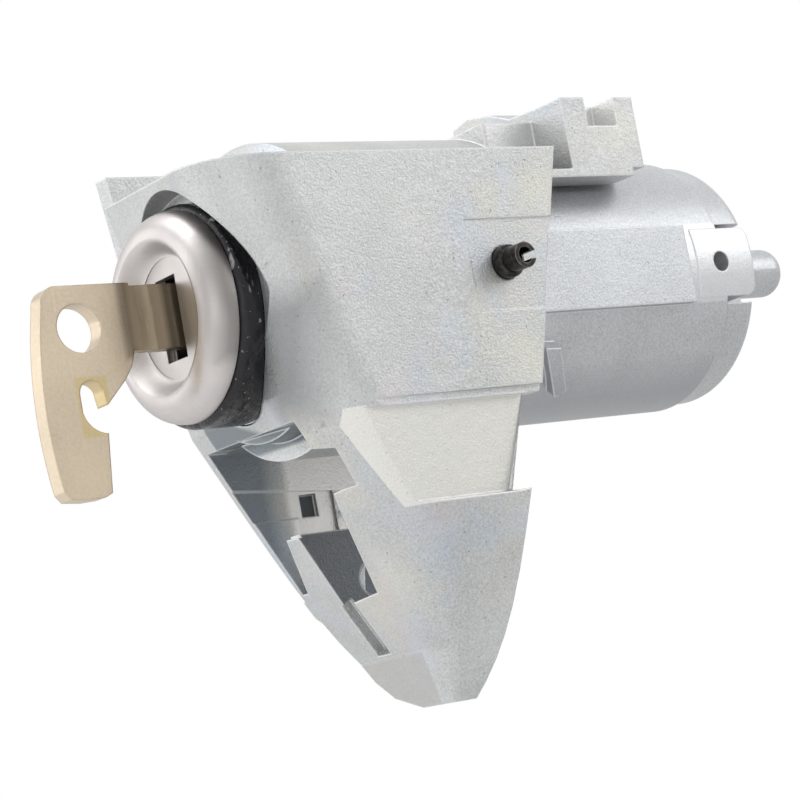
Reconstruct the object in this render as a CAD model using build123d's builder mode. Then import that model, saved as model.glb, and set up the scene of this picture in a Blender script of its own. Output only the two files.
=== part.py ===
from build123d import *
import os
from math import cos, pi, radians, sin

# Door lock cylinder with its carrier housing, in millimetres.
# The lock axis is +Y, from the face of the lock into the door. +Z is up, along
# the keyway. The origin is the centre of the lock's face.

os.makedirs("parts", exist_ok=True)

# Face cap, a dished pressing over the nose of the barrel
cap_r = 12.0
cap_rim_round = 3.0
cap_sheet = 0.5
cap_skirt = 0.45
cap_crest_r = 8.95
cap_inner_round = 2.2
cap_hole_r = 7.4
dish_edge_r = 8.0
dish_edge_depth = 1.3
face_r = 7.2
face_depth = 2.4
face_sheet = 0.8

# Keyway slot in the turning face
slot_x = -0.45
slot_w = 4.3
slot_top = 4.7
slot_bottom = -4.7

# Front seal
seal_r = 12.67
seal_gap = 0.05
seal_round = 0.8
seal_back = 10.2

# Barrel
barrel_r = 15.86
barrel_end = 72.3
nose_start = 2.7
nose_r = 11.4
neck_r = 12.6
neck_start = seal_back + 0.1
shoulder_start = 17.0
chamber_start = barrel_end - 20.3
chamber_r = 12.2
running_gap = 0.06
seat_gap = 0.1
pin_fit = 0.02

# Flat pad along the near side of the barrel, and the lugs behind it
pad_face = barrel_r + 0.34
pad_low = -5.2
pad_high = 4.4
pad_start = 30.0
pad_end = barrel_end - 6.1
lug_half = 4.25
lug_mid = -0.35
lug_short = 1.1
lug_round = 1.2
lug_hole_r = 1.25
lug_hole_in = 0.7
stop_r = barrel_r + 1.24
stop_turn = -43.5
stop_outline = ((42.5, 3.4), (44.8, 3.3), (47.9, -2.8), (46.4, -3.6))
lug_root = 4.6
lug_proud = 0.12
lug_gap = 0.7

# Rear cover
cover_r = barrel_r - 0.66
cover_start = barrel_end + 0.6
cover_end = cover_start + 5.1
cover_round = 1.5
cover_hole_r = chamber_r - 2.9
spigot_depth = 5.0

# Carrier housing: the front face leans back towards the tip and turns away
# from the near side, and the open back leans forward towards the tip
side_wall = 2.14
half_width = barrel_r + side_wall
face_at_axis = 6.4
face_turn = 0.21
face_lean = 0.27
keel_lean = 0.55
knee_z = -11.4
tip_lean = 0.25
tip_z = -41.0
back_at_axis = 42.4
back_lean = 0.30
wall = 2.5
edge_thick = 1.0
level_steps = 6.75
taper_top = -14.0
keel_levels = [taper_top + (tip_z - taper_top) * n / level_steps for n in range(7)]
section_levels = (18, knee_z, *keel_levels, tip_z, tip_z - 2.5, tip_z - 4.8, tip_z - 6.4)
far_taper = 0.62
corner_share = 0.97
corner_taper = 0.55
near_taper = 0.25
tip_taper = 0.28
foot_taper = 0.32
front_roll = 8.0
roll_taper = 7.2
top_at_axis = 15.5
top_fall = 0.08
crown_wall = 3.44
crown_r = barrel_r + crown_wall
crown_start = 11.0
crown_slope = 3.0
crown_inset = 0.6
tunnel_start = 15.0
tunnel_wall = 1.3
tunnel_r = barrel_r + tunnel_wall
cheek_top = 20.5
cheek_front = 6.0
cheek_knee = 10.7
cheek_end = 30.0
ring_bore_r = cap_r + 2.25
ring_bore_depth = 6.2
arm_bore_gap = 0.54
seal_bore_r = seal_r + 0.08

# Lower opening in the front of the housing, and the ribs behind it
sill_z = -14.2
sill_rise = 0.7
opening_reach = 31.0
far_wall = 1.4
opening_near_side = (
    (9.9, -14.3), (9.8, -17.5), (12.7, -18.0), (12.1, -22.2), (8.2, -22.5), (7.0, -25.0), (3.0, -33.7),
)
rib_x = -8.6
rib_thick = 2.0
rib_top = -25.1
rib_outline = ((-7.6, -34.2), (-7.6, -25.5), (-11.0, -25.3), (-14.9, -31.6))
rib_hole_r = 1.9
rib_hole_y = 28.7
rib_hole_z = -31.35
rib_hole_bevel = 0.35
collar_r = 15.0
collar_start = 12.0
band_outline = (
    (10.0, -17.7), (31.0, -19.4), (45.0, -20.6), (45.0, -30.0), (25.6, -30.0), (25.6, -22.3), (10.0, -22.3),
)
band_deep = 0.4
window_y = 27.5
window_z = -20.9
window_l = 2.5
window_h = 2.8
window_deep = 1.1
groove_x = -6.1
groove_w = 3.9
groove_top = -33.6
groove_l = 7.4
groove_deep = 1.4
foot_outline = ((-15.0, 2.6), (-18.0, 1.9), (-17.9, -0.4), (-16.4, -1.8), (-13.0, -1.8), (-13.0, 2.6))
foot_z = -34.2
foot_thick = 2.5

# Side pocket for the handle's clip, below a lip
pocket_top = -14.5
pocket_bottom = -25.3
pocket_top_x = half_width - 1.15
pocket_lean = 0.155
pocket_rim = 2.1
pocket_front = 12.4
lip_z = -13.7
lip_x = half_width - 0.55
patch_front = 31.4
patch_low = -5.0
patch_high = 5.7
patch_deep = 0.28

# Hook arm above the barrel
hook_low_x = -4.1
hook_high_x = 16.8
hook_bumps = ((-4.1, 22.3), (-0.9, 22.9), (3.1, 22.2), (6.9, 20.6), (12.1, 20.3))
hook_front = 50.0
hook_back = 61.2
hook_top = 20.3
hook_peak = 22.9
hook_floor = 11.6
arm_top = 19.0
arm_plate = 1.0
hook_notch_front = 53.6
hook_notch_back = 58.2
hook_notch_floor = 16.8
hook_notch_x = 12.8

# Slotted spring pin through the near wall
pin_y = 36.4
pin_z = 0.5
pin_r = 1.5
pin_wall = 0.55
pin_slot = 0.9
pin_inner_x = 8.8
pin_proud = 3.5
pin_counterbore_r = 2.0
pin_counterbore = 0.7

# Plug, wafers and key
plug_end = chamber_start + 2.0
keyway_clear = 0.2
shutter_depth = 9.0
shutter_thick = 0.5
wafer_count = 8
wafer_first = 13.0
wafer_pitch = 4.0
wafer_thick = 1.1
wafer_half_w = 4.2
spring_r = 0.8
spring_wire = 0.3
spring_half = 2.4
spring_turns = 3
spring_x = -3.1
key_x = 0.0
key_thick = 2.4
blade_thick = 2.0
blade_top = 3.8
blade_bottom = -3.5
blade_tip = 44.0
blade_shoulder = -4.2
bow_back = ((-12.8, 4.1), (-14.0, 3.4), (-14.5, 2.0))
bow_edge = ((-14.5, 2.0), (-15.9, -9.5), (-15.3, -18.3))
bow_foot = ((-15.3, -18.3), (-14.6, -19.2), (-12.4, -19.4), (-10.4, -19.3), (-9.5, -18.9), (-8.8, -12.4))
slot_side = ((-8.8, -12.4), (-10.6, -11.6), (-11.5, -10.0))
slot_end = ((-11.5, -8.1), (-10.0, -6.5), (-8.5, -8.1))
bow_front = ((-8.5, -8.1), (-8.3, -9.3), (-5.6, -6.7), (-4.5, -5.2), (-3.8, -3.3), (-3.2, -3.2))
mill_r = 5.0
mill_y = -2.2
mill_floor = 0.8
key_hole_r = 2.7
key_hole_y = -10.3
key_hole_z = -0.7
key_cuts = (0.5, 0.9, 0.3, 0.7, 1.0, 0.4, 0.8, 0.5)

# Parts behind the plug
clip_thick = 1.0
clip_r = 9.0
clip_groove_r = 6.2
clip_gap = 4.0
sleeve_r = chamber_r - 2.6
sleeve_start = plug_end + 1.0
sleeve_end = sleeve_start + 6.5
tail_r = 5.0
tail_end = sleeve_end + 1.5
drive_pin_r = 1.0
drive_pin_y = sleeve_start + 3.0
clutch_wire = 0.7
clutch_turns = 2
clutch_r = sleeve_r - 2.2
return_wire = 1.0
return_turns = 3
return_r = chamber_r - 1.2
drive_start = barrel_end - 6.3
drive_end = cover_end + 1.0
drive_gap = 0.1
tongue_half = 2.0
tongue_end = drive_start + 5.0
peg_r = 3.1
peg_x = 5.0
peg_end = drive_end + 11.7
peg_round = 2.2


def station(y):
    """The plane across the lock axis at y, seen from the front: X right, Z up."""
    return Plane.XZ.offset(-y)


def front_y(x, z):
    """The carrier's front face at x, z: a plane that leans back more from the knee to the tip."""
    lean = face_lean * max(z, knee_z) + tip_lean * min(z - tip_z, 0)
    lean += keel_lean * (max(min(z, knee_z), tip_z) - knee_z)
    return face_at_axis - face_turn * x - lean


def keel_plane(x, z):
    """The plane of the front face below the knee, seen from the front, with its origin at x, z."""
    return Plane(
        origin=(x, front_y(x, z), z), x_dir=(1, -face_turn, 0), z_dir=(-face_turn, -1, -keel_lean)
    )


def back_y(z):
    """The carrier's open back at height z."""
    return back_at_axis + back_lean * z


def taper(z, amount, power):
    """A share of amount that grows from nothing at the taper's top to all at the tip."""
    share = min(max((taper_top - z) / (taper_top - section_levels[-1]), 0), 1)
    return amount * share ** power


def plan_at(z):
    """Far wall, front corner, near wall and the front's roll radius in the carrier's plan at z."""
    far = -half_width * (1 - taper(z, far_taper, 4.5))
    corner = half_width * (corner_share - taper(z, corner_taper, 1.3))
    near = half_width * (1 - taper(z, near_taper, 1.3) - taper(z, tip_taper, 6))
    far += half_width * taper(z, foot_taper, 30)
    return far, corner, near, front_roll - taper(z, roll_taper, 2)


# Crown of the carrier over the barrel, with a sloped front, cut off by the open back
with BuildPart() as crown:
    with BuildSketch(Plane.XY):
        with BuildLine():
            Polyline(
                (0, crown_start), (crown_r - crown_slope, crown_start),
                (crown_r, crown_start + crown_slope), (crown_r, 2 * back_at_axis),
                (0, 2 * back_at_axis), close=True,
            )
        make_face()
    revolve(axis=Axis.Y)
    split(bisect_by=Plane.XY, keep=Keep.TOP)
    with BuildSketch(station(tunnel_start)):
        Circle(tunnel_r)
    extrude(amount=tunnel_start - 2 * back_at_axis)
    split(bisect_by=Plane(origin=(0, back_at_axis, 0), z_dir=(0, -1, back_lean)), keep=Keep.TOP)
    with BuildSketch(Plane.XY):
        with Locations((-half_width, 0)):
            Rectangle(2 * half_width - crown_inset, 4 * back_at_axis, align=(Align.MIN, Align.CENTER))
    extrude(amount=2 * crown_r, both=True, mode=Mode.INTERSECT)


# Carrier housing: one zinc casting with the ring round the lock, the two walls,
# the pocket and ribs below, and the hook arm above
with BuildPart() as carrier_housing:
    for z in section_levels:
        far_x, corner_x, near_x, roll = plan_at(z)
        rear = max(back_y(z), front_y(corner_x, z) + edge_thick)
        far_rear = max(rear, front_y(far_x, z) + edge_thick)
        with BuildSketch(Plane.XY.offset(z)) as plan:
            with BuildLine():
                Polyline(
                    (far_x, front_y(far_x, z)), (corner_x, front_y(corner_x, z)),
                    (near_x, rear), (far_x, far_rear), close=True,
                )
            make_face()
            fillet(plan.vertices().sort_by_distance((corner_x, front_y(corner_x, z), 0))[0], roll)
    loft(ruled=True)
    # The top face falls towards the near side
    split(bisect_by=Plane(origin=(0, 0, top_at_axis), z_dir=(top_fall, 0, 1)), keep=Keep.BOTTOM)
    # Lower cavity, open at the back
    for z in section_levels[1:-2]:
        far_x, corner_x, near_x, roll = plan_at(z)
        corner_x -= wall
        front_edge = front_y(corner_x, z) + wall
        with BuildSketch(Plane.XY.offset(z)) as hollow:
            with BuildLine():
                Polyline(
                    (far_x + far_wall, front_y(far_x, z) + wall), (corner_x, front_edge),
                    (near_x - wall, back_y(z) + wall), (far_x + far_wall, back_y(z) + wall), close=True,
                )
            make_face()
            fillet(hollow.vertices().sort_by_distance((corner_x, front_edge, 0))[0], roll / 2)
    loft(ruled=True, mode=Mode.SUBTRACT)
    # Lower opening in the front, as far as the far wall, round the rib's broad front end
    with BuildSketch(station(0)):
        with BuildLine():
            Polyline(
                (far_wall - half_width, sill_z + sill_rise), *opening_near_side, *rib_outline,
                (far_wall - half_width, rib_outline[-1][1]), close=True,
            )
        make_face()
    extrude(amount=-opening_reach, mode=Mode.SUBTRACT)
    add(crown.part)
    # Far cheek, standing above the top face
    with BuildSketch(Plane.YZ.offset(-half_width)):
        with BuildLine():
            Polyline(
                (cheek_front, cheek_top), (cheek_end, cheek_top),
                (cheek_end + cheek_top - top_at_axis, 0), (front_y(-half_width, 0), 0),
                (front_y(-half_width, cheek_knee), cheek_knee), close=True,
            )
        make_face()
    extrude(amount=wall)
    with BuildSketch(Plane.YZ.offset(-half_width)):
        with BuildLine():
            Polyline(
                (0, cheek_top), (cheek_front, cheek_top),
                (front_y(-half_width, cheek_knee), cheek_knee), (0, cheek_knee), close=True,
            )
        make_face()
    extrude(amount=wall, mode=Mode.SUBTRACT)
    # Hook block, its bridge over the barrel and the thin plate below it
    with BuildSketch(station(hook_front)):
        with BuildLine():
            Polyline(
                *hook_bumps, (hook_high_x, hook_top), (hook_high_x, hook_floor), (hook_low_x, hook_floor),
                close=True,
            )
        make_face()
    extrude(amount=hook_front - hook_back)
    with BuildSketch(station(hook_notch_front)):
        with Locations((hook_high_x + wall, hook_notch_floor)):
            Rectangle(
                hook_high_x + wall - hook_notch_x, hook_peak, align=(Align.MAX, Align.MIN)
            )
    extrude(amount=hook_notch_front - hook_notch_back, mode=Mode.SUBTRACT)
    with BuildSketch(station(back_at_axis)):
        with Locations((hook_low_x, hook_floor)):
            Rectangle(hook_high_x - hook_low_x - 6, arm_top - hook_floor, align=(Align.MIN, Align.MIN))
    extrude(amount=back_at_axis - hook_front)
    with BuildSketch(station(back_at_axis)):
        with Locations((hook_high_x, hook_floor)):
            Rectangle(4.4, arm_plate, align=(Align.MAX, Align.MAX))
    extrude(amount=back_at_axis - hook_back + 1.8)
    # Collar round the lock's neck, behind the sill
    with BuildSketch(station(collar_start)):
        Circle(collar_r)
    extrude(amount=collar_start - shoulder_start)
    # Rib from the front to the open back, bored across with a bevelled edge
    with BuildSketch(Plane.YZ.offset(rib_x - rib_thick / 2)):
        with BuildLine():
            Polyline(
                (front_y(rib_x, rib_top) + 0.3, rib_top), (back_y(rib_top), rib_top),
                (back_y(tip_z), tip_z), (front_y(rib_x, tip_z) + wall / 2, tip_z),
                (front_y(rib_x, groove_top) + 0.3, groove_top), close=True,
            )
        make_face()
    extrude(amount=rib_thick)
    with BuildSketch(Plane.YZ.offset(rib_x + rib_thick / 2)):
        with Locations((rib_hole_y, rib_hole_z)):
            Circle(rib_hole_r)
    extrude(amount=-2 * rib_thick, mode=Mode.SUBTRACT)
    with BuildSketch(Plane.YZ.offset(rib_x + rib_thick / 2)):
        with Locations((rib_hole_y, rib_hole_z)):
            Circle(rib_hole_r + rib_hole_bevel)
    extrude(amount=-rib_hole_bevel, taper=45, mode=Mode.SUBTRACT)
    # Band and window sunk in the far wall's inner face
    with BuildSketch(Plane.YZ.offset(far_wall - half_width)):
        with BuildLine():
            Polyline(*band_outline, close=True)
        make_face()
    extrude(amount=-band_deep, mode=Mode.SUBTRACT)
    with BuildSketch(Plane.YZ.offset(far_wall - half_width)):
        with Locations((window_y, window_z)):
            Rectangle(window_l, window_h)
    extrude(amount=-window_deep, mode=Mode.SUBTRACT)
    # Small foot on the far edge of the keel
    with BuildSketch(keel_plane(0, foot_z)):
        with BuildLine():
            Polyline(*foot_outline, close=True)
        make_face()
    extrude(amount=-foot_thick)
    # Side pocket below the lip, and the recess of the mould insert round the pin
    panel = Plane(origin=(pocket_top_x, 0, pocket_top), x_dir=(0, 1, 0), z_dir=(1, 0, -pocket_lean))
    with BuildSketch(panel):
        with BuildLine():
            Polyline(
                (pocket_front, 0), (back_y(pocket_top) - pocket_rim, 0),
                (back_y(pocket_bottom) - pocket_rim, pocket_bottom - pocket_top),
                (pocket_front + 1, pocket_bottom - pocket_top), close=True,
            )
        make_face()
    extrude(amount=half_width, mode=Mode.SUBTRACT)
    with BuildSketch(Plane.YZ.offset(pocket_top_x - wall - 2)):
        with BuildLine():
            Polyline(
                (back_y(pocket_top) - pocket_rim, pocket_top),
                (back_y(pocket_top) + wall, pocket_top),
                (back_y(pocket_top) + wall, pocket_bottom),
                (back_y(pocket_bottom) - pocket_rim, pocket_bottom), close=True,
            )
        make_face()
    extrude(amount=half_width, mode=Mode.SUBTRACT)
    with BuildSketch(Plane.YZ.offset(lip_x)):
        with Locations((pocket_front, lip_z)):
            Rectangle(back_y(lip_z) - pocket_front, lip_z - pocket_top, align=(Align.MIN, Align.MAX))
    extrude(amount=half_width, mode=Mode.SUBTRACT)
    with BuildSketch(Plane.YZ.offset(half_width - patch_deep)):
        with Locations((patch_front, patch_low)):
            Rectangle(half_width, patch_high - patch_low, align=(Align.MIN, Align.MIN))
    extrude(amount=half_width, mode=Mode.SUBTRACT)
    # Groove down the keel
    with BuildSketch(keel_plane(groove_x, groove_top - groove_l / 2)):
        Rectangle(groove_w, groove_l)
    extrude(amount=-groove_deep, mode=Mode.SUBTRACT)
    # Bores for the lock, stepped as the barrel is, and clearance below the hook arm
    with BuildSketch(Plane.XY):
        with BuildLine():
            Polyline(
                (0, -half_width), (ring_bore_r, -half_width), (ring_bore_r, ring_bore_depth),
                (seal_bore_r, ring_bore_depth), (seal_bore_r, shoulder_start),
                (barrel_r + seat_gap, shoulder_start), (barrel_r + seat_gap, back_at_axis),
                (barrel_r + arm_bore_gap, back_at_axis), (barrel_r + arm_bore_gap, barrel_end),
                (0, barrel_end), close=True,
            )
        make_face()
    revolve(axis=Axis.Y, mode=Mode.SUBTRACT)
    # Channel for the flat pad, and the pin's hole with its counterbore
    with BuildSketch(station(pad_start - seat_gap)):
        with Locations((pad_face + seat_gap, pad_low - seat_gap)):
            Rectangle(pad_face, pad_high - pad_low + 2 * seat_gap, align=(Align.MAX, Align.MIN))
    extrude(amount=pad_start - barrel_end, mode=Mode.SUBTRACT)
    with BuildSketch(Plane.YZ):
        with Locations((pin_y, pin_z)):
            Circle(pin_r + pin_fit)
    extrude(amount=2 * half_width, mode=Mode.SUBTRACT)
    with BuildSketch(Plane.YZ.offset(half_width - pin_counterbore)):
        with Locations((pin_y, pin_z)):
            Circle(pin_counterbore_r)
    extrude(amount=half_width, mode=Mode.SUBTRACT)

carrier_housing.part.label = "carrier_housing"
export_step(carrier_housing.part, "parts/carrier_housing.step")


# Barrel: one zinc casting with the nose, the neck and the body
plug_bore_r = face_r + running_gap
with BuildPart() as lock_barrel:
    with BuildSketch(Plane.XY):
        with BuildLine():
            Polyline(
                (plug_bore_r, nose_start), (nose_r, nose_start), (nose_r, neck_start), (neck_r, neck_start),
                (neck_r, shoulder_start + seat_gap), (barrel_r, shoulder_start + seat_gap),
                (barrel_r, barrel_end), (chamber_r, barrel_end), (chamber_r, chamber_start),
                (plug_bore_r, chamber_start), close=True,
            )
        make_face()
    revolve(axis=Axis.Y)
    # Flat pad on the near side
    with BuildSketch(station(pad_start)):
        with Locations((pad_face, pad_low)):
            Rectangle(pad_face - chamber_r - 1, pad_high - pad_low, align=(Align.MAX, Align.MIN))
    extrude(amount=pad_start - pad_end)
    # Lugs that pass the rear cover
    with BuildSketch(station(barrel_end - lug_root)):
        Circle(barrel_r + lug_proud)
        Circle(chamber_r + seat_gap, mode=Mode.SUBTRACT)
        with Locations((0, lug_mid)):
            Rectangle(3 * barrel_r, 2 * lug_half, mode=Mode.INTERSECT)
    extrude(amount=barrel_end - lug_root - cover_end + lug_short)
    fillet(lock_barrel.edges().filter_by(Axis.X).group_by(Axis.Y)[-1], lug_round)
    # Stop block on the lower near side
    out = (cos(radians(stop_turn)), 0, sin(radians(stop_turn)))
    with BuildSketch(Plane(origin=Vector(out) * stop_r, x_dir=(0, 1, 0), z_dir=out)):
        with BuildLine():
            Polyline(*stop_outline, close=True)
        make_face()
    extrude(amount=barrel_r - stop_r - 1)
    # Holes for the spring pin and across the lug
    with BuildSketch(Plane.YZ.offset(pin_inner_x - seat_gap)):
        with Locations((pin_y, pin_z)):
            Circle(pin_r + pin_fit)
    extrude(amount=half_width, mode=Mode.SUBTRACT)
    with BuildSketch(Plane.YZ.offset(chamber_r - 1)):
        with Locations((barrel_end - lug_hole_in, lug_mid)):
            Circle(lug_hole_r)
    extrude(amount=half_width, mode=Mode.SUBTRACT)

lock_barrel.part.label = "lock_barrel"
export_step(lock_barrel.part, "parts/lock_barrel.step")


# Face cap: a pressed ring with a rounded rim and a bevel down to the turning face
with BuildPart() as face_cap:
    with BuildSketch(Plane.XY) as cap_profile:
        with BuildLine():
            Polyline(
                (cap_hole_r, nose_start - running_gap), (dish_edge_r, dish_edge_depth),
                (cap_crest_r, 0), (cap_r, 0), (cap_r, cap_rim_round + cap_skirt),
                (cap_r - cap_sheet, cap_rim_round + cap_skirt),
                (cap_r - cap_sheet, cap_sheet), (cap_crest_r + cap_sheet / 2, cap_sheet),
                (dish_edge_r + cap_sheet, dish_edge_depth + cap_sheet / 2),
                (cap_hole_r + cap_sheet, nose_start - running_gap), close=True,
            )
        make_face()
        corners = cap_profile.vertices()
        fillet(corners.sort_by_distance((cap_r, 0, 0))[0], cap_rim_round)
        corners = cap_profile.vertices()
        fillet(corners.sort_by_distance((cap_r - cap_sheet, cap_sheet, 0))[0], cap_inner_round)
    revolve(axis=Axis.Y)

face_cap.part.label = "face_cap"
export_step(face_cap.part, "parts/face_cap.step")


# Rubber seal round the nose, behind the cap
seal_front = cap_rim_round + cap_skirt + seal_gap
with BuildPart() as front_seal:
    with BuildSketch(Plane.XY) as seal_profile:
        with BuildLine():
            Polyline(
                (nose_r + seal_gap, seal_front), (seal_r, seal_front),
                (seal_r, seal_back), (nose_r + seal_gap, seal_back), close=True,
            )
        make_face()
        fillet(seal_profile.vertices().group_by(Axis.X)[-1], seal_round)
    revolve(axis=Axis.Y)

front_seal.part.label = "front_seal"
export_step(front_seal.part, "parts/front_seal.step")


# Turning face with the keyway slot
with BuildPart() as rotor_face:
    with BuildSketch(station(face_depth)):
        Circle(face_r)
        with Locations((slot_x, slot_bottom)):
            Rectangle(slot_w, slot_top - slot_bottom, align=(Align.CENTER, Align.MIN), mode=Mode.SUBTRACT)
    extrude(amount=-face_sheet)

rotor_face.part.label = "rotor_face"
export_step(rotor_face.part, "parts/rotor_face.step")


# Plug with its keyway, wafer slots, tail and tongue
keyway_w = blade_thick + 2 * keyway_clear
keyway_low = blade_bottom - keyway_clear
keyway_high = blade_top + keyway_clear
wafer_places = [wafer_first + wafer_pitch * i for i in range(wafer_count)]
with BuildPart() as lock_plug:
    with BuildSketch(Plane.XY):
        with BuildLine():
            Polyline(
                (0, face_depth + face_sheet), (face_r, face_depth + face_sheet),
                (face_r, chamber_start + seat_gap), (clip_groove_r, chamber_start + seat_gap),
                (clip_groove_r, chamber_start + clip_thick + 2 * seat_gap),
                (face_r, chamber_start + clip_thick + 2 * seat_gap), (face_r, plug_end),
                (tail_r, plug_end), (tail_r, tail_end), (0, tail_end), close=True,
            )
        make_face()
    revolve(axis=Axis.Y)
    with BuildSketch(station(tail_end)):
        Rectangle(2 * tail_r - 1, 2 * tongue_half)
    extrude(amount=tail_end - tongue_end)
    with BuildSketch(station(face_depth)):
        with Locations((key_x, keyway_low)):
            Rectangle(keyway_w, keyway_high - keyway_low, align=(Align.CENTER, Align.MIN))
    extrude(amount=face_depth - blade_tip - 1, mode=Mode.SUBTRACT)
    with BuildSketch(station(face_depth)):
        with Locations((slot_x, slot_bottom)):
            Rectangle(slot_w, slot_top - slot_bottom, align=(Align.CENTER, Align.MIN))
    extrude(amount=face_depth - shutter_depth, mode=Mode.SUBTRACT)
    for y in wafer_places:
        with BuildSketch(station(y - wafer_thick / 2 - running_gap)):
            Rectangle(2 * wafer_half_w + 2 * running_gap, 3 * face_r)
        extrude(amount=-wafer_thick - 2 * running_gap, mode=Mode.SUBTRACT)
        with BuildSketch(Plane.XY.offset(-spring_half - running_gap)):
            with Locations((spring_x, y)):
                Circle(spring_r + seat_gap)
        extrude(amount=2 * spring_half + 2 * running_gap, mode=Mode.SUBTRACT)
    with BuildSketch(Plane.YZ):
        with Locations((drive_pin_y, 0)):
            Circle(drive_pin_r + pin_fit)
    extrude(amount=2 * tail_r, both=True, mode=Mode.SUBTRACT)

lock_plug.part.label = "lock_plug"
export_step(lock_plug.part, "parts/lock_plug.step")


# Wafers and their springs, one of each in every slot of the plug
with BuildPart() as wafer:
    with BuildSketch(station(-wafer_thick / 2)):
        Circle(face_r - seat_gap)
        Rectangle(2 * wafer_half_w, 3 * face_r, mode=Mode.INTERSECT)
        with Locations((key_x, keyway_low)):
            Rectangle(
                keyway_w, keyway_high - keyway_low, align=(Align.CENTER, Align.MIN), mode=Mode.SUBTRACT
            )
        with Locations((-wafer_half_w, 0)):
            Rectangle(
                wafer_half_w + spring_x + spring_r + seat_gap, 2 * spring_half + seat_gap,
                align=(Align.MIN, Align.CENTER), mode=Mode.SUBTRACT,
            )
    extrude(amount=-wafer_thick)

spring_pitch = (2 * spring_half - spring_wire) / spring_turns
with BuildPart() as wafer_spring:
    with BuildLine():
        Helix(spring_pitch, 2 * spring_half - spring_wire, spring_r - spring_wire / 2)
    with BuildSketch(Plane(origin=(spring_r - spring_wire / 2, 0, 0), z_dir=(0, 1, 0))):
        Rectangle(spring_wire, spring_wire)
    sweep(is_frenet=True)

for i, y in enumerate(wafer_places):
    one = wafer.part.moved(Location((0, y, 0)))
    one.label = f"wafer_{i + 1}"
    export_step(one, f"parts/wafer_{i + 1}.step")
    coil = wafer_spring.part.moved(Location((spring_x, y, spring_wire / 2 - spring_half)))
    coil.label = f"wafer_spring_{i + 1}"
    export_step(coil, f"parts/wafer_spring_{i + 1}.step")


# Dust shutter, pushed aside by the key, on its own pivot
with BuildPart() as dust_shutter:
    with BuildSketch(Plane.XY.offset(slot_bottom + running_gap)):
        with Locations((slot_x - slot_w / 2 + running_gap, face_depth + face_sheet + seat_gap)):
            Rectangle(
                shutter_thick, shutter_depth - face_depth - face_sheet - 2 * seat_gap, align=Align.MIN
            )
    extrude(amount=slot_top - slot_bottom - 2 * running_gap)

dust_shutter.part.label = "dust_shutter"
export_step(dust_shutter.part, "parts/dust_shutter.step")


# Key: flat bow with a round hole and an open slot, and a thinner blade
with BuildPart() as key:
    with BuildSketch(Plane.YZ.offset(key_x)):
        with BuildLine():
            ThreePointArc(*bow_back)
            ThreePointArc(*bow_edge)
            Polyline(*bow_foot)
            ThreePointArc(*slot_side)
            Line(slot_side[-1], slot_end[0])
            ThreePointArc(*slot_end)
            Polyline(*bow_front, (bow_front[-1][0], bow_back[0][1]), bow_back[0])
        make_face()
        with Locations((key_hole_y, key_hole_z)):
            Circle(key_hole_r, mode=Mode.SUBTRACT)
    extrude(amount=key_thick / 2, both=True)
    lower = [(blade_shoulder - 1, blade_bottom)]
    upper = [(blade_shoulder - 1, blade_top)]
    for y, cut in zip(wafer_places, key_cuts):
        lower += [(y - 1.2, blade_bottom), (y - 0.4, blade_bottom + cut), (y + 0.4, blade_bottom + cut)]
        lower += [(y + 1.2, blade_bottom)]
        upper += [(y - 1.2, blade_top), (y - 0.4, blade_top - cut), (y + 0.4, blade_top - cut)]
        upper += [(y + 1.2, blade_top)]
    middle = (blade_top + blade_bottom) / 2
    with BuildSketch(Plane.YZ.offset(key_x)):
        with BuildLine():
            Polyline(
                *lower, (blade_tip, middle - 1.5), (blade_tip, middle + 1.5), *reversed(upper), close=True
            )
        make_face()
    extrude(amount=blade_thick / 2, both=True)
    # Milled hollow where the bow runs into the blade, on both sides
    with BuildSketch(Plane.XY.offset(2 * blade_bottom)):
        for side in (-1, 1):
            with Locations((key_x + side * (mill_floor + mill_r), mill_y)):
                Circle(mill_r)
    extrude(amount=4 * blade_top, mode=Mode.SUBTRACT)

key.part.label = "key"
export_step(key.part, "parts/key.step")


# Slotted spring pin
with BuildPart() as roll_pin:
    with BuildSketch(Plane.YZ.offset(pin_inner_x)):
        with Locations((pin_y, pin_z)):
            Circle(pin_r)
            Circle(pin_r - pin_wall, mode=Mode.SUBTRACT)
            Rectangle(2 * pin_r, pin_slot, align=(Align.MIN, Align.CENTER), mode=Mode.SUBTRACT)
    extrude(amount=half_width + pin_proud - pin_inner_x)

roll_pin.part.label = "roll_pin"
export_step(roll_pin.part, "parts/roll_pin.step")


# Open clip in the plug's groove
with BuildPart() as retaining_clip:
    with BuildSketch(station(chamber_start + 1.5 * seat_gap)):
        Circle(clip_r)
        Circle(clip_groove_r + running_gap, mode=Mode.SUBTRACT)
        Rectangle(2 * clip_r, clip_gap, align=(Align.MIN, Align.CENTER), mode=Mode.SUBTRACT)
    extrude(amount=-clip_thick)

retaining_clip.part.label = "retaining_clip"
export_step(retaining_clip.part, "parts/retaining_clip.step")


# Sleeve on the plug's tail, and the pin through both
with BuildPart() as clutch_sleeve:
    with BuildSketch(station(sleeve_start)):
        Circle(sleeve_r)
        Circle(tail_r + running_gap, mode=Mode.SUBTRACT)
    extrude(amount=sleeve_start - sleeve_end)
    with BuildSketch(Plane.YZ):
        with Locations((drive_pin_y, 0)):
            Circle(drive_pin_r + pin_fit)
    extrude(amount=2 * sleeve_r, both=True, mode=Mode.SUBTRACT)

clutch_sleeve.part.label = "clutch_sleeve"
export_step(clutch_sleeve.part, "parts/clutch_sleeve.step")

with BuildPart() as drive_pin:
    with BuildSketch(Plane.YZ):
        with Locations((drive_pin_y, 0)):
            Circle(drive_pin_r)
    extrude(amount=sleeve_r - seat_gap, both=True)

drive_pin.part.label = "drive_pin"
export_step(drive_pin.part, "parts/drive_pin.step")


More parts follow.
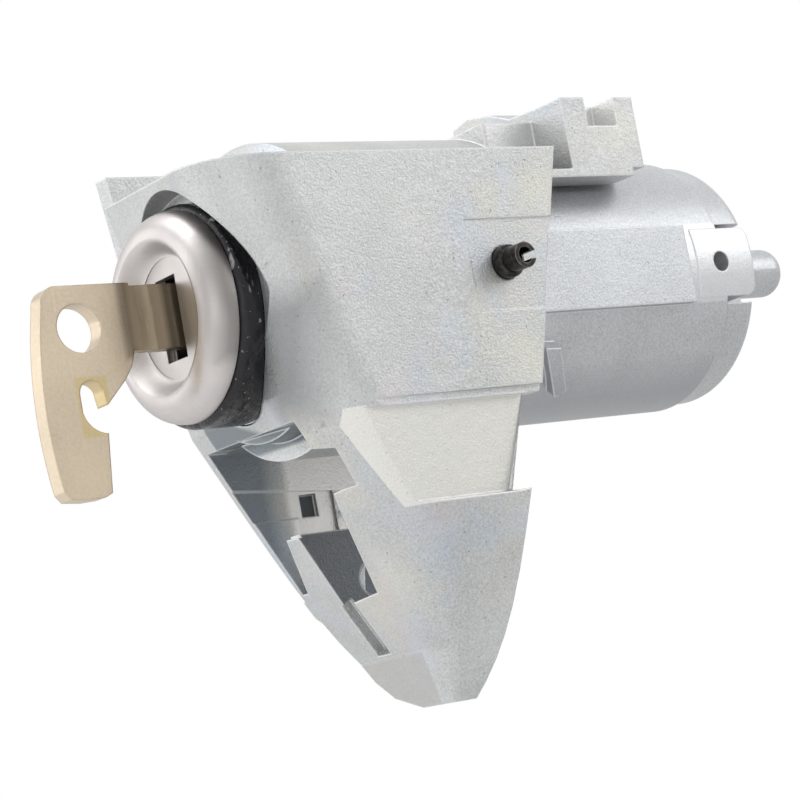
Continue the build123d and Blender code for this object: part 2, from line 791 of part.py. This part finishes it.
# Coil springs round the lock axis: the clutch's and the one that turns the plug back
clutch_room = drive_start - sleeve_end - 2 * clutch_wire
with BuildPart() as clutch_spring:
    with BuildLine():
        Helix(clutch_room / clutch_turns, clutch_room, clutch_r, direction=(0, 1, 0))
    with BuildSketch(Plane(origin=(clutch_r, 0, 0), z_dir=(0, 0, 1))):
        Rectangle(clutch_wire, clutch_wire)
    sweep(is_frenet=True)

clutch_coil = clutch_spring.part.moved(Location((0, sleeve_end + clutch_wire, 0)))
clutch_coil.label = "clutch_spring"
export_step(clutch_coil, "parts/clutch_spring.step")

return_room = return_turns * (return_wire + seat_gap)
with BuildPart() as return_spring:
    with BuildLine():
        Helix(return_wire + seat_gap, return_room, return_r, direction=(0, 1, 0))
    with BuildSketch(Plane(origin=(return_r, 0, 0), z_dir=(0, 0, 1))):
        Rectangle(return_wire, return_wire)
    sweep(is_frenet=True)

return_coil = return_spring.part.moved(Location((0, sleeve_start + return_wire, 0)))
return_coil.label = "return_spring"
export_step(return_coil, "parts/return_spring.step")


# Tail drive with its eccentric peg
with BuildPart() as tail_drive:
    with BuildSketch(station(drive_start)):
        Circle(cover_hole_r - drive_gap)
        Rectangle(2 * tail_r, 2 * tongue_half + 2 * running_gap, mode=Mode.SUBTRACT)
    extrude(amount=drive_start - tongue_end - seat_gap)
    with BuildSketch(station(tongue_end + seat_gap)):
        Circle(cover_hole_r - drive_gap)
    extrude(amount=tongue_end + seat_gap - drive_end)
    with BuildSketch(station(drive_end)):
        with Locations((peg_x, 0)):
            Circle(peg_r)
    extrude(amount=drive_end - peg_end)
    fillet(tail_drive.edges().group_by(Axis.Y)[-1], peg_round)

tail_drive.part.label = "tail_drive"
export_step(tail_drive.part, "parts/tail_drive.step")


# Rear cover: a thick ring with a spigot into the barrel, notched for the two lugs
with BuildPart() as rear_cover:
    with BuildSketch(Plane.XY) as cover_profile:
        with BuildLine():
            Polyline(
                (cover_hole_r, cover_start - spigot_depth),
                (chamber_r - seat_gap, cover_start - spigot_depth),
                (chamber_r - seat_gap, cover_start), (cover_r, cover_start), (cover_r, cover_end),
                (cover_hole_r, cover_end), close=True,
            )
        make_face()
        fillet(cover_profile.vertices().sort_by_distance((cover_r, cover_end, 0))[0], cover_round)
    revolve(axis=Axis.Y)
    with BuildSketch(station(cover_start - seat_gap)):
        with Locations((chamber_r - lug_gap, lug_mid)):
            Rectangle(cover_r, 2 * lug_half + 2 * lug_gap, align=(Align.MIN, Align.CENTER))
        with Locations((lug_gap - chamber_r, lug_mid)):
            Rectangle(cover_r, 2 * lug_half + 2 * lug_gap, align=(Align.MAX, Align.CENTER))
    extrude(amount=cover_start - cover_end - 1, mode=Mode.SUBTRACT)

rear_cover.part.label = "rear_cover"
export_step(rear_cover.part, "parts/rear_cover.step")
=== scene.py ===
import bpy
import numpy as np
from mathutils import Matrix, Vector


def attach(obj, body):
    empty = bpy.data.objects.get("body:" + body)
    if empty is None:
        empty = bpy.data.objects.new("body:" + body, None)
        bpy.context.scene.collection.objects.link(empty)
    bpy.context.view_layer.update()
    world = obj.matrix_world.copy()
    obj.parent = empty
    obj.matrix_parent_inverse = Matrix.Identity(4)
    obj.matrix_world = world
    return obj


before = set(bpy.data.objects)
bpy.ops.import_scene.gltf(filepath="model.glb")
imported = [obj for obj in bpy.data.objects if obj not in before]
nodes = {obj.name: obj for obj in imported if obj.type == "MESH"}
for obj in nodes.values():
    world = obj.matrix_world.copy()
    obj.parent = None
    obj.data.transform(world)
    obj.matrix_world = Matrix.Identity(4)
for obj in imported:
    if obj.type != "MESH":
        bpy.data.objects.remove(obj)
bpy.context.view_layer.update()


# Finishes: what every material below is built from. Their patterns lie on the
# piece's own coordinates, in metres, so they stay in place at every pose.
def new_finish(name, colour, metallic, roughness):
    """An opaque finish: returns the material, its node tree and its shader."""
    material = bpy.data.materials.new(name)
    material.use_nodes = True
    tree = material.node_tree
    shader = tree.nodes["Principled BSDF"]
    shader.inputs["Base Color"].default_value = (*colour, 1)
    shader.inputs["Metallic"].default_value = metallic
    shader.inputs["Roughness"].default_value = roughness
    return material, tree, shader


def place_on_piece(tree, stretch=(1, 1, 1), turn=(0, 0, 0)):
    """The piece's own coordinates in metres, stretched and turned for a pattern."""
    source = tree.nodes.new("ShaderNodeTexCoord")
    mapping = tree.nodes.new("ShaderNodeMapping")
    mapping.inputs["Scale"].default_value = stretch
    mapping.inputs["Rotation"].default_value = turn
    tree.links.new(source.outputs["Object"], mapping.inputs["Vector"])
    return mapping.outputs["Vector"]


def split(tree, vector):
    """The X, Y and Z of a vector."""
    axes = tree.nodes.new("ShaderNodeSeparateXYZ")
    tree.links.new(vector, axes.inputs["Vector"])
    return [axes.outputs[axis] for axis in "XYZ"]


def squeezed(tree, value, low, high, to_low=0.0, to_high=1.0):
    """value carried from low and high to to_low and to_high, and held beyond them."""
    squeeze = tree.nodes.new("ShaderNodeMapRange")
    ends = {"From Min": low, "From Max": high, "To Min": to_low, "To Max": to_high}
    for socket, end in ends.items():
        squeeze.inputs[socket].default_value = end
    tree.links.new(value, squeeze.inputs["Value"])
    return squeeze.outputs["Result"]


def grain(tree, per_metre, low, high, detail=3.0, stretch=(1, 1, 1), turn=(0, 0, 0)):
    """Noise on the piece, squeezed to 0 at low and 1 at high."""
    noise = tree.nodes.new("ShaderNodeTexNoise")
    noise.inputs["Scale"].default_value = per_metre
    noise.inputs["Detail"].default_value = detail
    tree.links.new(place_on_piece(tree, stretch, turn), noise.inputs["Vector"])
    return squeezed(tree, noise.outputs["Fac"], low, high)


def scaled(tree, value, amount, offset=0.0):
    """value times amount, plus offset."""
    node = tree.nodes.new("ShaderNodeMath")
    node.operation = "MULTIPLY_ADD"
    tree.links.new(value, node.inputs[0])
    node.inputs[1].default_value = amount
    node.inputs[2].default_value = offset
    return node.outputs["Value"]


def combined(tree, first, second, operation="ADD"):
    """Two values joined by one sum."""
    node = tree.nodes.new("ShaderNodeMath")
    node.operation = operation
    tree.links.new(first, node.inputs[0])
    tree.links.new(second, node.inputs[1])
    return node.outputs["Value"]


def tinted(tree, base, colour, mask):
    """base, with colour over it where the mask is 1. base is a colour or a socket."""
    mix = tree.nodes.new("ShaderNodeMix")
    mix.data_type = "RGBA"
    if isinstance(base, tuple):
        mix.inputs["A"].default_value = (*base, 1)
    else:
        tree.links.new(base, mix.inputs["A"])
    mix.inputs["B"].default_value = (*colour, 1)
    tree.links.new(mask, mix.inputs["Factor"])
    return mix.outputs["Result"]


def relief(tree, shader, height, depth, edge_round):
    """A bump of that depth in metres, over edges rounded by edge_round."""
    edges = tree.nodes.new("ShaderNodeBevel")
    edges.samples = 6
    edges.inputs["Radius"].default_value = edge_round
    bump = tree.nodes.new("ShaderNodeBump")
    bump.inputs["Distance"].default_value = depth
    tree.links.new(height, bump.inputs["Height"])
    tree.links.new(edges.outputs["Normal"], bump.inputs["Normal"])
    tree.links.new(bump.outputs["Normal"], shader.inputs["Normal"])
    return edges.outputs["Normal"]


def worn_and_highlit_edges(tree, rounded):
    """1 on an edge and 0 on a flat face: how far the rounded normal leaves the true one."""
    cosine_flat, cosine_edge = 0.995, 0.93
    geometry = tree.nodes.new("ShaderNodeNewGeometry")
    dot = tree.nodes.new("ShaderNodeVectorMath")
    dot.operation = "DOT_PRODUCT"
    tree.links.new(geometry.outputs["True Normal"], dot.inputs[0])
    tree.links.new(rounded, dot.inputs[1])
    return squeezed(tree, dot.outputs["Value"], cosine_flat, cosine_edge)


def region(tree, low, high, blur):
    """1 inside the box from low to high in metres on the piece, fading to 0 over blur."""
    middle = [(start + end) / 2 for start, end in zip(low, high)]
    half = [(end - start) / 2 for start, end in zip(low, high)]
    point = place_on_piece(tree)
    for operation, amount in (("SUBTRACT", middle), ("ABSOLUTE", None), ("SUBTRACT", half)):
        node = tree.nodes.new("ShaderNodeVectorMath")
        node.operation = operation
        tree.links.new(point, node.inputs[0])
        if amount:
            node.inputs[1].default_value = amount
        point = node.outputs["Vector"]
    across, along, up = split(tree, point)
    outside = combined(tree, combined(tree, across, along, "MAXIMUM"), up, "MAXIMUM")
    return squeezed(tree, outside, blur, 0)


def facing_near(tree):
    """1 on faces turned to +X, the side of the spring pin, and 0 on the others."""
    geometry = tree.nodes.new("ShaderNodeNewGeometry")
    across = split(tree, geometry.outputs["True Normal"])[0]
    return squeezed(tree, across, 0.3, 0.6)


def stains_and_painted_light(tree, skin, patches, where=None):
    """skin with patches over it, some painted light and shade, some real stains: each one's box,
    blur, colour and amount, only within where.
    """
    for low, high, blur, colour, amount in patches:
        mask = region(tree, low, high, blur)
        if where is not None:
            mask = combined(tree, mask, where, "MULTIPLY")
        skin = tinted(tree, skin, colour, scaled(tree, mask, amount))
    return skin


def dress(node_name, material):
    """Gives a CAD node its finish."""
    for slot in nodes[node_name].material_slots:
        slot.link = "OBJECT"
        slot.material = material


# Shapes: meshes for the little that the frame's solids leave out. Their points are
# metres in the shared frame, so each object sits at the origin and rides its body.
def new_object(name, data):
    """An object on that data, at the origin of the scene."""
    thing = bpy.data.objects.new(name, data)
    bpy.context.scene.collection.objects.link(thing)
    return thing


def new_mesh(name, points, faces, finish):
    """A mesh with one finish."""
    mesh = bpy.data.meshes.new(name)
    mesh.from_pydata(points, [], faces)
    mesh.materials.append(finish)
    return mesh


def flat_piece(name, body, outline, x_from, x_to, finish):
    """A plate across X: outline is y, z in metres, counter-clockwise seen from +X."""
    flat = np.array(outline)
    count = len(flat)
    far = np.arange(count)
    near = far + count
    after = np.roll(far, -1)
    sides = [np.column_stack([np.full(count, x), flat]) for x in (x_from, x_to)]
    faces = [near.tolist(), far[::-1].tolist()]
    faces += np.column_stack([far, after, after + count, near]).tolist()
    piece = new_object(name, new_mesh(name, np.vstack(sides).tolist(), faces, finish))
    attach(piece, body)


def turned_piece(name, body, profile, finish, axis="Y", centre=(0, 0), around=96):
    """A piece turned about an axis along X or Y. profile is the place along it and the radius."""
    along, radius = np.array(profile).T
    angle = np.linspace(0, 2 * np.pi, around, endpoint=False)
    shift = np.repeat(along, around)
    first = centre[0] + np.outer(radius, np.cos(angle)).ravel()
    second = centre[1] + np.outer(radius, np.sin(angle)).ravel()
    columns = (shift, first, second) if axis == "X" else (first, shift, second)
    corner = np.arange(len(along) * around).reshape(len(along), around)
    beside = np.roll(corner, -1, axis=1)
    quads = np.stack([corner[:-1], beside[:-1], beside[1:], corner[1:]], axis=-1)
    points = np.column_stack(columns).tolist()
    mesh = new_mesh(name, points, quads.reshape(-1, 4).tolist(), finish)
    mesh.shade_smooth()
    piece = new_object(name, mesh)
    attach(piece, body)


# Carrier housing: a zinc die casting, left as it came from the die and then given
# a clear passivation. Its skin has a fine grain, small dark pits, paler edges that are
# partly wear and partly painted highlight, faint yellow, pink and blue tints on the
# faces that stand back, and patches of painted light and shade.
passivation = (  # colour, clouds per metre, where the noise starts and is full, amount
    ((0.80, 0.74, 0.56), 70, 0.52, 0.72, 0.30),
    ((0.74, 0.60, 0.66), 110, 0.56, 0.74, 0.22),
    ((0.50, 0.62, 0.80), 95, 0.55, 0.72, 0.30),
)
pit_dark = (0.20, 0.20, 0.21)
# Colour of the paler edges on the castings: partly wear, partly painted highlight.
edge_wear_and_highlight = (0.88, 0.89, 0.90)


def zinc_casting(
    name, colour, roughness, grain_depth, edge_round, patches=(), lit_and_shaded_walls=(), passivated=False
):
    """Die-cast zinc: grain, pits, paler edges (wear and painted highlight), tints if passivated,
    and patches of painted light and shade.

    The painted light and shade on walls shows only on faces turned to +X."""
    material, tree, shader = new_finish(name, colour, 0.75, roughness)
    cloud = grain(tree, 90, 0.3, 0.7)
    fine = grain(tree, 3900, 0.36, 0.64, detail=2.0)
    coarse = grain(tree, 1100, 0.35, 0.65)
    pits = grain(tree, 2600, 0.27, 0.22, detail=1.0)
    darker = tuple(0.80 * part for part in colour)
    lighter = tuple(min(1.0, 1.28 * part) for part in colour)
    skin = tinted(tree, colour, darker, cloud)
    skin = tinted(tree, skin, lighter, scaled(tree, fine, 0.55))
    if passivated:
        for tint, per_metre, low, high, amount in passivation:
            mask = scaled(tree, grain(tree, per_metre, low, high), amount)
            skin = tinted(tree, skin, tint, mask)
    skin = tinted(tree, skin, pit_dark, scaled(tree, pits, 0.5))
    skin = stains_and_painted_light(tree, skin, patches)
    if lit_and_shaded_walls:
        skin = stains_and_painted_light(tree, skin, lit_and_shaded_walls, facing_near(tree))
    height = combined(tree, scaled(tree, fine, 0.6), scaled(tree, coarse, 0.6))
    height = combined(tree, height, scaled(tree, pits, 1.5), "SUBTRACT")
    rounded = relief(tree, shader, height, grain_depth, edge_round)
    # Paler edges: partly wear, partly painted highlight.
    skin = tinted(tree, skin, edge_wear_and_highlight, scaled(tree, worn_and_highlit_edges(tree, rounded), 0.75))
    tree.links.new(skin, shader.inputs["Base Color"])
    return material


cast_zinc = (0.545, 0.555, 0.555)
white = (0.92, 0.92, 0.90)
# Painted light and shade on the carrier, box by box.
carrier_painted_light = (
    # Painted shade on the side pocket's rim, between its panel and the near wall's face.
    ((0.0170, 0.010, -0.0255), (0.0177, 0.040, -0.0150), 0.0001, (0.30, 0.31, 0.32), 0.6),
    # Painted shade on the facet under the tip.
    ((-0.0130, 0.010, -0.0480), (0.0040, 0.040, -0.0414), 0.0004, (0.44, 0.43, 0.42), 0.6),
    # Painted shade behind the ring, above the lower opening.
    ((-0.0130, 0.011, -0.0153), (0.0130, 0.018, -0.0105), 0.0005, (0.16, 0.19, 0.21), 0.85),
    # Painted light in the notch in the hooked arm.
    ((0.0125, 0.0535, 0.0167), (0.0175, 0.0583, 0.0215), 0.0001, white, 0.45),
    # Painted shade on the rolled front beside the seal, where it is lowest.
    ((0.0100, 0.003, -0.0120), (0.0175, 0.008, -0.0030), 0.0040, (0.26, 0.27, 0.28), 0.8),
)
# Painted light and shade on the carrier's faces turned to +X, box by box.
carrier_wall_light_and_shade = (
    # Painted light on the side pocket's panel, pale cream.
    ((0.0145, 0.012, -0.0255), (0.0169, 0.040, -0.0143), 0.0001, (0.90, 0.885, 0.82), 0.65),
    # Painted shade on the far side of the pocket below, by the rib.
    ((-0.0077, 0.006, -0.0342), (-0.0075, 0.040, -0.0252), 0.0001, (0.08, 0.09, 0.10), 0.85),
    # The far wall's inner side: painted shade in front, blue-black; painted light behind, pale;
    # painted shade in its window.
    ((-0.0175, 0.000, -0.0260), (-0.0155, 0.021, -0.0140), 0.0030, (0.20, 0.24, 0.28), 0.8),
    ((-0.0175, 0.025, -0.0260), (-0.0155, 0.045, -0.0140), 0.0010, (0.97, 0.95, 0.92), 1.0),
    ((-0.0190, 0.025, -0.0235), (-0.0172, 0.030, -0.0185), 0.0001, (0.05, 0.06, 0.07), 0.95),
    # Painted light on the hooked arm's side.
    ((-0.0060, 0.043, 0.0110), (0.0128, 0.0537, 0.0215), 0.0002, white, 0.35),
)
carrier_finish = zinc_casting(
    "carrier_zinc", cast_zinc, 0.46, 0.000035, 0.00035, carrier_painted_light, carrier_wall_light_and_shade,
    passivated=True,
)
dress("carrier_housing", carrier_finish)


# Tab behind the rib: the far wall runs on a little past the open back there, and
# closes the view through the round hole in the rib, put there so that the hole shows dark. Its
# inner side has painted shade.
tab_outline = (
    (0.0315, -0.0336), (0.0352, -0.0330), (0.0368, -0.0305), (0.0368, -0.0285), (0.0335, -0.0272),
)
tab_shade = (
    ((-0.020, 0.025, -0.040), (-0.010, 0.045, -0.020), 0.0001, (0.10, 0.12, 0.14), 0.9),
)
tab_finish = zinc_casting("tab_zinc", cast_zinc, 0.46, 0.000035, 0.0003, lit_and_shaded_walls=tab_shade)
flat_piece("far_wall_tab", "carrier", tab_outline, -0.0173, -0.0163, tab_finish)


# Barrel: a second zinc casting, smoother than the carrier because most of it was
# turned after casting. It has painted shade low down, a painted highlight on the near
# lug, and painted shade, near black, in the gap round the rear cover.
turned_zinc = {
    "colour": (0.54, 0.555, 0.57), "roughness": 0.38, "grain_depth": 0.000014,
    "edge_round": 0.0003,
}
# Painted shade low down on the barrel, and a painted highlight on the near lug.
barrel_light_and_shade = (
    ((-0.020, 0.030, -0.020), (0.020, 0.080, -0.0145), 0.0040, (0.34, 0.35, 0.37), 0.7),
    ((0.010, 0.0665, -0.0050), (0.020, 0.0800, 0.0045), 0.0003, (0.86, 0.86, 0.86), 0.45),
)
# Painted shade, near black, in the gap round the rear cover.
cover_gap_shade = (
    ((-0.017, 0.0725, -0.017), (0.017, 0.0730, 0.017), 0.00005, (0.02, 0.02, 0.02), 1.0),
)
barrel_finish = zinc_casting("barrel_zinc", **turned_zinc, patches=barrel_light_and_shade)
for turned_part in ("lock_barrel", "tail_drive", "clutch_sleeve"):
    dress(turned_part, barrel_finish)
dress("rear_cover", zinc_casting("cover_zinc", **turned_zinc, patches=cover_gap_shade))
dress("lock_plug", zinc_casting("plug_zinc", (0.07, 0.07, 0.075), 0.5, 0.000014, 0.0002))


# Face cap and turning face: pressed from stainless sheet and polished, warm grey
# in the room's light, with fine scratches all round from keys that missed the slot.
def polished_steel(name, colour, roughness, patches=()):
    """Polished sheet: hair scratches in two directions, slight smears, and patches of painted
    shade.
    """
    material, tree, shader = new_finish(name, colour, 1.0, roughness)
    scratches = grain(tree, 260, 0.62, 0.70, detail=4.0, stretch=(1, 1, 22), turn=(0.5, 0, 0))
    hairs = grain(tree, 300, 0.62, 0.70, detail=4.0, stretch=(20, 1, 1), turn=(0, 0.9, 0.3))
    smear = grain(tree, 160, 0.35, 0.75)
    marks = combined(tree, scratches, hairs, "MAXIMUM")
    dull = tuple(0.80 * part for part in colour)
    skin = tinted(tree, colour, dull, scaled(tree, smear, 0.55))
    skin = tinted(tree, skin, (0.93, 0.92, 0.90), scaled(tree, marks, 0.10))
    tree.links.new(stains_and_painted_light(tree, skin, patches), shader.inputs["Base Color"])
    tree.links.new(scaled(tree, smear, 0.10, roughness), shader.inputs["Roughness"])
    relief(tree, shader, marks, 0.000006, 0.00015)
    return material


cap_edge_shade = (  # painted shade on the cap's rolled edge on the near side, below and above
    ((0.0098, -0.001, -0.009), (0.013, 0.010, 0.003), 0.0022, (0.36, 0.34, 0.33), 0.40),
    ((0.0100, 0.0022, -0.006), (0.013, 0.006, 0.011), 0.0015, (0.22, 0.21, 0.20), 0.7),
)
cap_finish = polished_steel("cap_steel", (0.56, 0.53, 0.52), 0.36, cap_edge_shade)
dress("face_cap", cap_finish)
dress("rotor_face", polished_steel("face_steel", (0.55, 0.52, 0.505), 0.36))


# Dish of the face cap: the pressing falls in one soft curve from its crest to the
# edge of the turning face, over the step that the cap's solid has there.
dish_r, dish_width, dish_depth, dish_lift = 0.0069, 0.0021, 0.00236, 0.00002
outward = np.linspace(0, 1, 25)
inward = dish_depth * (1 - outward ** 2 * (3 - 2 * outward)) - dish_lift
dish_profile = np.column_stack([inward, dish_r + dish_width * outward])
turned_piece("cap_dish", "carrier", dish_profile, cap_finish)


# Front seal: black moulded rubber, wet with grease that has picked up pale dust in
# flecks, and with painted sheen as pale streaks on the upper part of the side that shows.
rubber = (0.008, 0.008, 0.011)
dust_and_sheen = (0.42, 0.42, 0.44)
material, tree, shader = new_finish("seal_rubber", rubber, 0.0, 0.22)
shader.inputs["Specular IOR Level"].default_value = 0.35
flecks = grain(tree, 1700, 0.69, 0.73, detail=2.0)
# The pale streaks on the upper part are painted sheen; the flecks are grease dust.
sheen_streaks = grain(tree, 900, 0.66, 0.72, detail=2.0, stretch=(1, 1, 0.25), turn=(0.4, 0, 0))
sheen_zone = region(tree, (0.0, -0.002, 0.0), (0.014, 0.012, 0.012), 0.002)
sheen_streaks = combined(tree, sheen_streaks, sheen_zone, "MULTIPLY")
marks = combined(tree, scaled(tree, flecks, 0.8), sheen_streaks, "MAXIMUM")
lumps = grain(tree, 500, 0.3, 0.7)
skin = tinted(tree, rubber, dust_and_sheen, scaled(tree, marks, 0.7))
tree.links.new(skin, shader.inputs["Base Color"])
tree.links.new(scaled(tree, lumps, 0.12, 0.20), shader.inputs["Roughness"])
relief(tree, shader, lumps, 0.00012, 0.0003)
dress("front_seal", material)


# Key: a flat nickel-plated brass blank, plating worn matt, with painted shade on its
# neck and blade by the face, and brass where the open slot's wall cuts it.
plating = (0.605, 0.508, 0.375)
key_shade = (0.07, 0.06, 0.045)
# Painted shade on the stepped neck, on the blade by the face and in a line where it enters; the
# last patch is the brass.
key_shade_and_brass = (
    ((-0.002, -0.0046, -0.004), (0.002, -0.0037, 0.0045), 0.0008, key_shade, 0.55),
    ((-0.002, -0.0036, -0.004), (0.002, 0.0040, 0.0045), 0.0010, (0.34, 0.28, 0.19), 0.65),
    ((-0.002, 0.0012, -0.004), (0.002, 0.0016, 0.0045), 0.0008, key_shade, 0.75),
    ((-0.002, -0.0117, -0.0125), (0.002, -0.0082, -0.0063), 0.0004, (0.55, 0.42, 0.16), 0.55),
)
material, tree, shader = new_finish("key_nickel", plating, 0.9, 0.34)
cloud = grain(tree, 130, 0.3, 0.7)
specks = grain(tree, 2600, 0.3, 0.7, detail=2.0)
scratches = grain(tree, 240, 0.62, 0.70, detail=4.0, stretch=(1, 16, 1), turn=(0.6, 0, 0))
skin = tinted(tree, plating, (0.53, 0.44, 0.33), cloud)
skin = tinted(tree, skin, (0.72, 0.63, 0.50), scaled(tree, specks, 0.30))
skin = tinted(tree, skin, (0.78, 0.72, 0.60), scaled(tree, scratches, 0.25))
tree.links.new(stains_and_painted_light(tree, skin, key_shade_and_brass), shader.inputs["Base Color"])
relief(tree, shader, combined(tree, scaled(tree, specks, 0.5), scratches), 0.000008, 0.0003)
dress("key", material)


# Spring pin: rolled from strip and oxide-blackened, with a shine on its cut end
# and on the edges that were rubbed when it was driven in.
black_oxide = (0.018, 0.016, 0.016)
pin_finish, tree, shader = new_finish("pin_steel", black_oxide, 0.8, 0.30)
specks = grain(tree, 1800, 0.45, 0.75)
skin = tinted(tree, black_oxide, (0.07, 0.06, 0.055), specks)
rounded = relief(tree, shader, specks, 0.00001, 0.0002)
skin = tinted(tree, skin, (0.35, 0.33, 0.32), scaled(tree, worn_and_highlit_edges(tree, rounded), 0.5))
tree.links.new(skin, shader.inputs["Base Color"])
dress("roll_pin", pin_finish)


# Flare of the spring pin: its rolled shoulder stands a little out of the sunk ring
# in the near wall, black like the pin, with a rounded rim.
flare_root, flare_bend, flare_end = 0.0174, 0.0186, 0.0191
flare_inner, flare_outer, rim_r = 0.00143, 0.00193, 0.0005
pin_y, pin_z = 0.0364, 0.0005
bend = np.linspace(0, np.pi / 2, 9)
rim = np.column_stack([flare_bend + rim_r * np.sin(bend), flare_inner + rim_r * np.cos(bend)])
flare_profile = [
    (flare_root, flare_outer), *rim.tolist(), (flare_end, flare_inner), (flare_root, flare_inner),
]
turned_piece("pin_flare", "carrier", flare_profile, pin_finish, axis="X", centre=(pin_y, pin_z))


# Parts inside the barrel: brass wafers, brushed where they were stamped, and
# springs, clip and shutter in drawn steel. They show only through the key slot.
def drawn_metal(name, colour, darker, per_metre, stretch, depth):
    """Bright metal with the marks of drawing or brushing."""
    material, tree, shader = new_finish(name, colour, 1.0, 0.3)
    marks = grain(tree, per_metre, 0.3, 0.7, stretch=stretch)
    tree.links.new(tinted(tree, colour, darker, marks), shader.inputs["Base Color"])
    relief(tree, shader, marks, depth, 0.0001)
    return material


wafer_count = 8
brass = drawn_metal(
    "wafer_brass", (0.62, 0.45, 0.18), (0.5, 0.36, 0.15), 500, (1, 1, 12), 0.000005
)
steel = drawn_metal(
    "spring_steel", (0.5, 0.5, 0.5), (0.38, 0.38, 0.39), 900, (1, 1, 1), 0.000004
)
for number in range(1, wafer_count + 1):
    dress(f"wafer_{number}", brass)
    dress(f"wafer_spring_{number}", steel)
for inner in ("clutch_spring", "return_spring", "retaining_clip", "drive_pin", "dust_shutter"):
    dress(inner, steel)


# Floor: plain and pale, well below the lock. It is near white to the camera and keeps
# the lock's shadow; in the castings' gloss it glows, paler in front than behind, as painted light
# in their reflections.
floor_z = -0.075
floor_half = 3.0
front_y, back_y = -0.03, 0.08
gloss_front, gloss_back = 0.72, 0.35
camera_glow = 0.75
material, tree, shader = new_finish("studio_floor", (0.36, 0.36, 0.36), 0.0, 0.9)
shader.inputs["Specular IOR Level"].default_value = 0.1
shader.inputs["Emission Color"].default_value = (1, 1, 1, 1)
path = tree.nodes.new("ShaderNodeLightPath")
floor_y = split(tree, place_on_piece(tree))[1]
# The floor's glow in the castings' gloss: painted light, brighter in front than behind.
gloss = squeezed(tree, floor_y, front_y, back_y, gloss_front, gloss_back)
mirrored = combined(tree, path.outputs["Is Glossy Ray"], gloss, "MULTIPLY")
direct = scaled(tree, path.outputs["Is Camera Ray"], camera_glow)
tree.links.new(combined(tree, direct, mirrored, "MAXIMUM"), shader.inputs["Emission Strength"])
corners = np.array([(-1, -1), (1, -1), (1, 1), (-1, 1)]) * floor_half
points = [(x, y, floor_z) for x, y in corners]
floor = new_object("studio_floor", new_mesh("studio_floor", points, [(0, 1, 2, 3)], material))


# Room: white all round, a little darker low down, and plain white to the camera,
# so that the background is even whatever the view.
horizon, zenith = -0.1, 0.5
room_low, room_high = 0.72, 0.95
world = bpy.data.worlds.new("studio_room")
bpy.context.scene.world = world
world.use_nodes = True
tree = world.node_tree
room = tree.nodes["Background"]
direction = tree.nodes.new("ShaderNodeTexCoord")
up = split(tree, direction.outputs["Generated"])[2]
path = tree.nodes.new("ShaderNodeLightPath")
seen, through = path.outputs["Is Camera Ray"], path.outputs["Is Transmission Ray"]
plain = combined(tree, seen, through, "MAXIMUM")
level = tree.nodes.new("ShaderNodeMix")
tree.links.new(plain, level.inputs["Factor"])
tree.links.new(squeezed(tree, up, horizon, zenith, room_low, room_high), level.inputs["A"])
level.inputs["B"].default_value = 1.0
tree.links.new(level.outputs["Result"], room.inputs["Strength"])
room.inputs["Color"].default_value = (1, 1, 1, 1)


# Lamps: four soft panels round the lock: one above the face, one behind it on the
# pin's side, a large one before it on the far side, and a faint one by the camera.
def studio_panel(name, centre, target, size, watts):
    """A square soft lamp at centre, turned to face target."""
    light = bpy.data.lights.new(name, "AREA")
    light.shape = "SQUARE"
    light.size = size
    light.energy = watts
    lamp = new_object(name, light)
    lamp.location = centre
    lamp.rotation_euler = (Vector(target) - Vector(centre)).to_track_quat("-Z", "Y").to_euler()


studio_panel("lamp_above", (-0.15, -0.2, 0.6), (0, 0.03, 0), 0.5, 1.4)
studio_panel("lamp_side", (0.45, 0.5, 0.3), (0, 0.03, 0), 0.4, 0.8)
studio_panel("lamp_front", (-0.6, -0.6, 0.1), (0, 0.03, 0), 0.9, 2.4)
studio_panel("lamp_camera", (0.35, -0.45, -0.02), (0, 0.03, -0.02), 0.4, 0.35)


# Camera: below the lock's axis on the pin's side, looking up a little at the face,
# as the camera that took the photograph did.
camera_data = bpy.data.cameras.new("camera")
camera_data.sensor_width = 36.0
camera_data.sensor_fit = "HORIZONTAL"
camera_data.lens = 112.5
camera_data.clip_start = 0.01
camera = new_object("camera", camera_data)
camera_place = (0.23476, -0.14286, -0.04666)
right = Vector((0.56922001, 0.8028548, -0.17723641))
down = Vector((-0.20071693, -0.07335081, -0.97689937))
forward = Vector((-0.79730878, 0.59164502, 0.1193938))
turned = Matrix((right, -down, -forward)).transposed().to_4x4()
camera.matrix_world = Matrix.Translation(camera_place) @ turned
bpy.context.scene.camera = camera
bpy.context.scene.view_settings.view_transform = "Standard"
